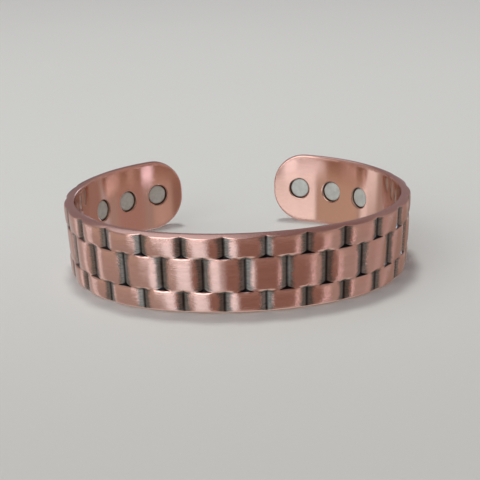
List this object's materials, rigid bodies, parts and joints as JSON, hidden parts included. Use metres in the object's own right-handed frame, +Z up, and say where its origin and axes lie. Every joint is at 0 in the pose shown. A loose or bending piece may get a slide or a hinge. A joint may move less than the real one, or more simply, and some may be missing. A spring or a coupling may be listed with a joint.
{
  "type": "magnetic cuff bracelet",
  "caption": "Open cuff bracelet of copper with rows of raised brick-pattern links outside and round magnets set in the inside of its plain rounded ends, worn on the wrist.",
  "frame": {"origin": "bottom centre of the bounding box, on the surface that the cuff rests on", "axes": "+Z up along the wrist, -Y towards the middle of the front, +Y towards the opening between the tips, +X to the right as seen from the front"},
  "size_m": [0.066, 0.0566, 0.0145],
  "materials": {
    "copper": "brushed copper with dark patina in the grooves",
    "magnet": "dull nickel plate"
  },
  "bodies": {
    "root": {"cuff": "copper", "magnet_left_1": "magnet", "magnet_left_2": "magnet", "magnet_left_3": "magnet", "magnet_right_1": "magnet", "magnet_right_2": "magnet", "magnet_right_3": "magnet"}
  },
  "joints": []
}
